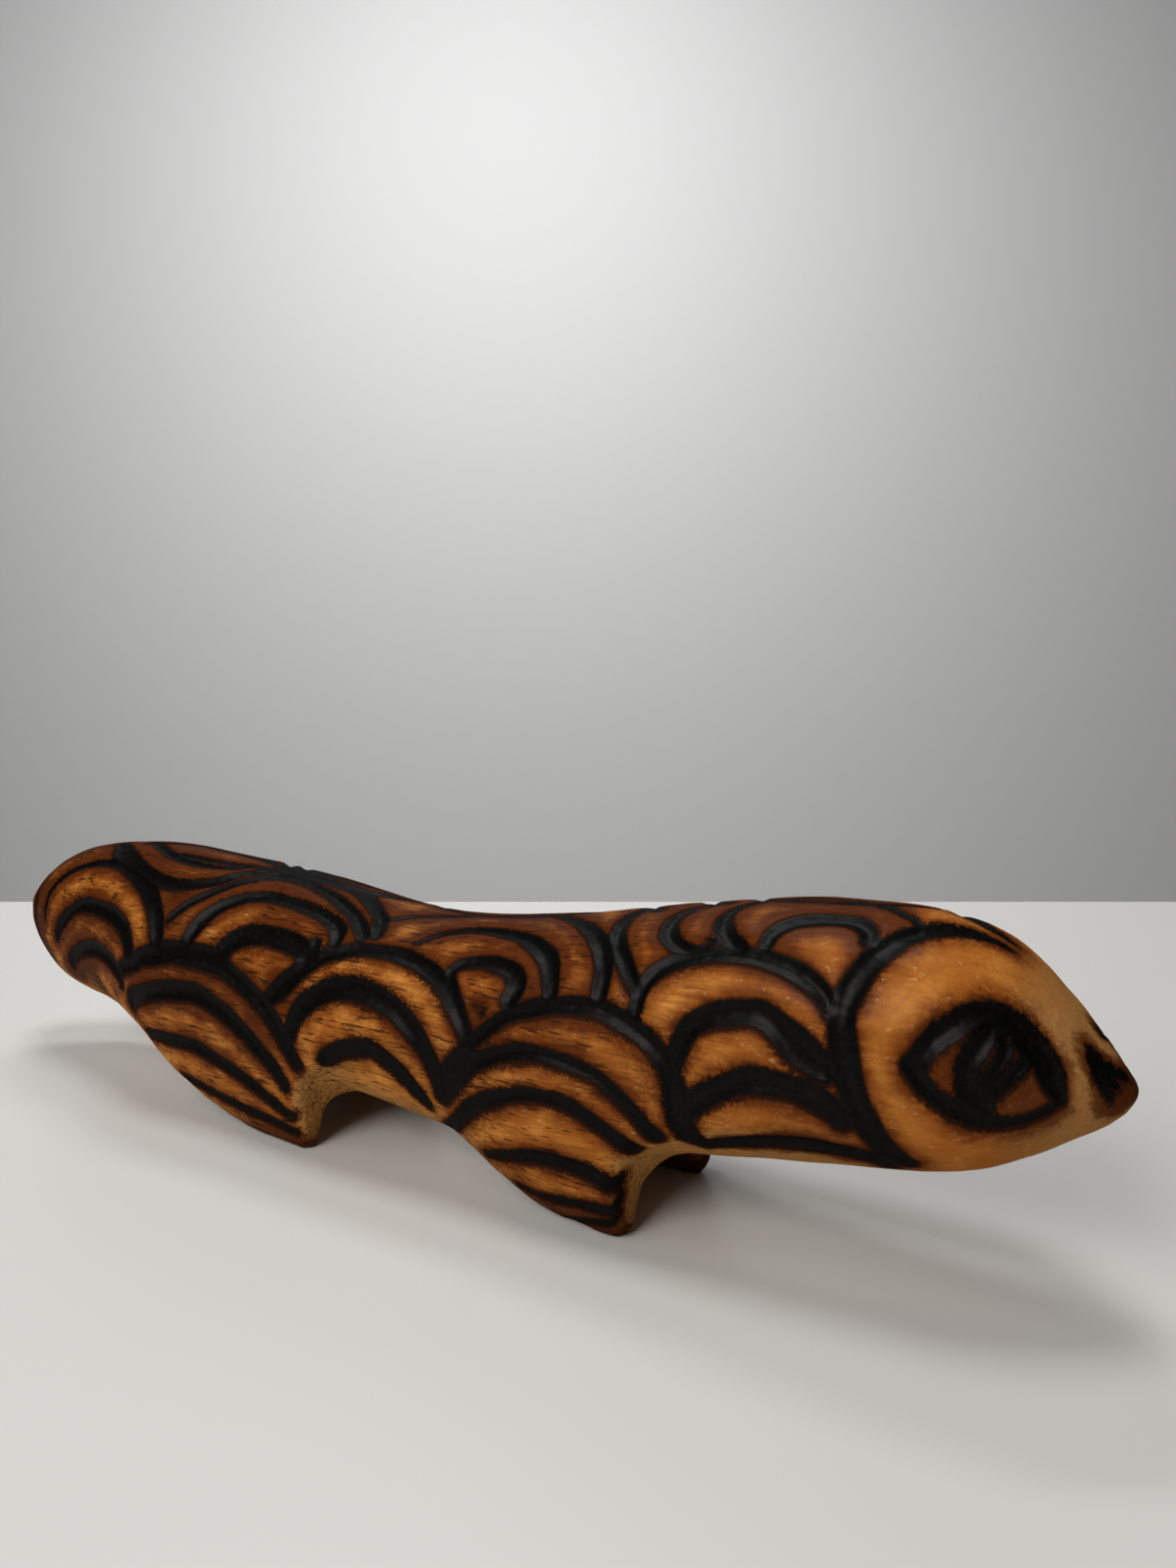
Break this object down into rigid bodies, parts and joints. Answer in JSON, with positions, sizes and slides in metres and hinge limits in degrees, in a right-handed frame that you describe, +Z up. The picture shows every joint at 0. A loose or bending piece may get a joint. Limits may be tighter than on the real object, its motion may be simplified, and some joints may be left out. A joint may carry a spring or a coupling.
{
  "type": "carved wooden lizard figurine",
  "caption": "Stout carved wooden lizard on four stub legs, head raised and snout pointed, flanks and back covered in burnt overlapping scale arcs.",
  "frame": {"origin": "under the middle of the body, on the plane of the four soles", "axes": "+X along the body towards the snout, +Y towards the animal's left flank, +Z up"},
  "size_m": [0.1649, 0.0299, 0.0378],
  "materials": {
    "wood": "honey-brown carved wood with black burnt arcs, thin satin sheen"
  },
  "bodies": {
    "root": {"lizard": "wood"}
  },
  "joints": []
}
